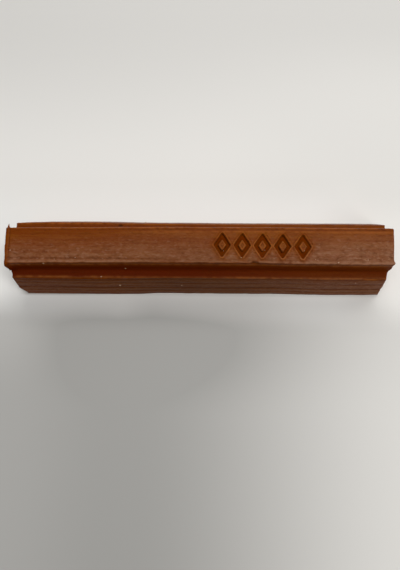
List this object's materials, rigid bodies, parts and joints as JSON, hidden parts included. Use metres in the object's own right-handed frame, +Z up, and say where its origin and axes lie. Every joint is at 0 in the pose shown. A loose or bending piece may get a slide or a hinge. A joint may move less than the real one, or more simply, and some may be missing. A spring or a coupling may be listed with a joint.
{
  "type": "furniture repair wax stick",
  "caption": "Solid bar of reddish-brown hard wax for filling scratches in furniture: a raised rib on a flared body with a ledge on each side and a row of plain pressed marks.",
  "frame": {"origin": "centre of the flat face the bar rests on", "axes": "+X along the bar, towards the end nearer the pressed marks; +Z up, out of the pressed face; -Y is the front long side of the picture"},
  "size_m": [0.08, 0.0166, 0.0133],
  "materials": {
    "wax": "hard wax, semi-matt and slightly waxy, with fine lengthwise drag lines"
  },
  "bodies": {
    "root": {"wax_bar": "wax"}
  },
  "joints": []
}
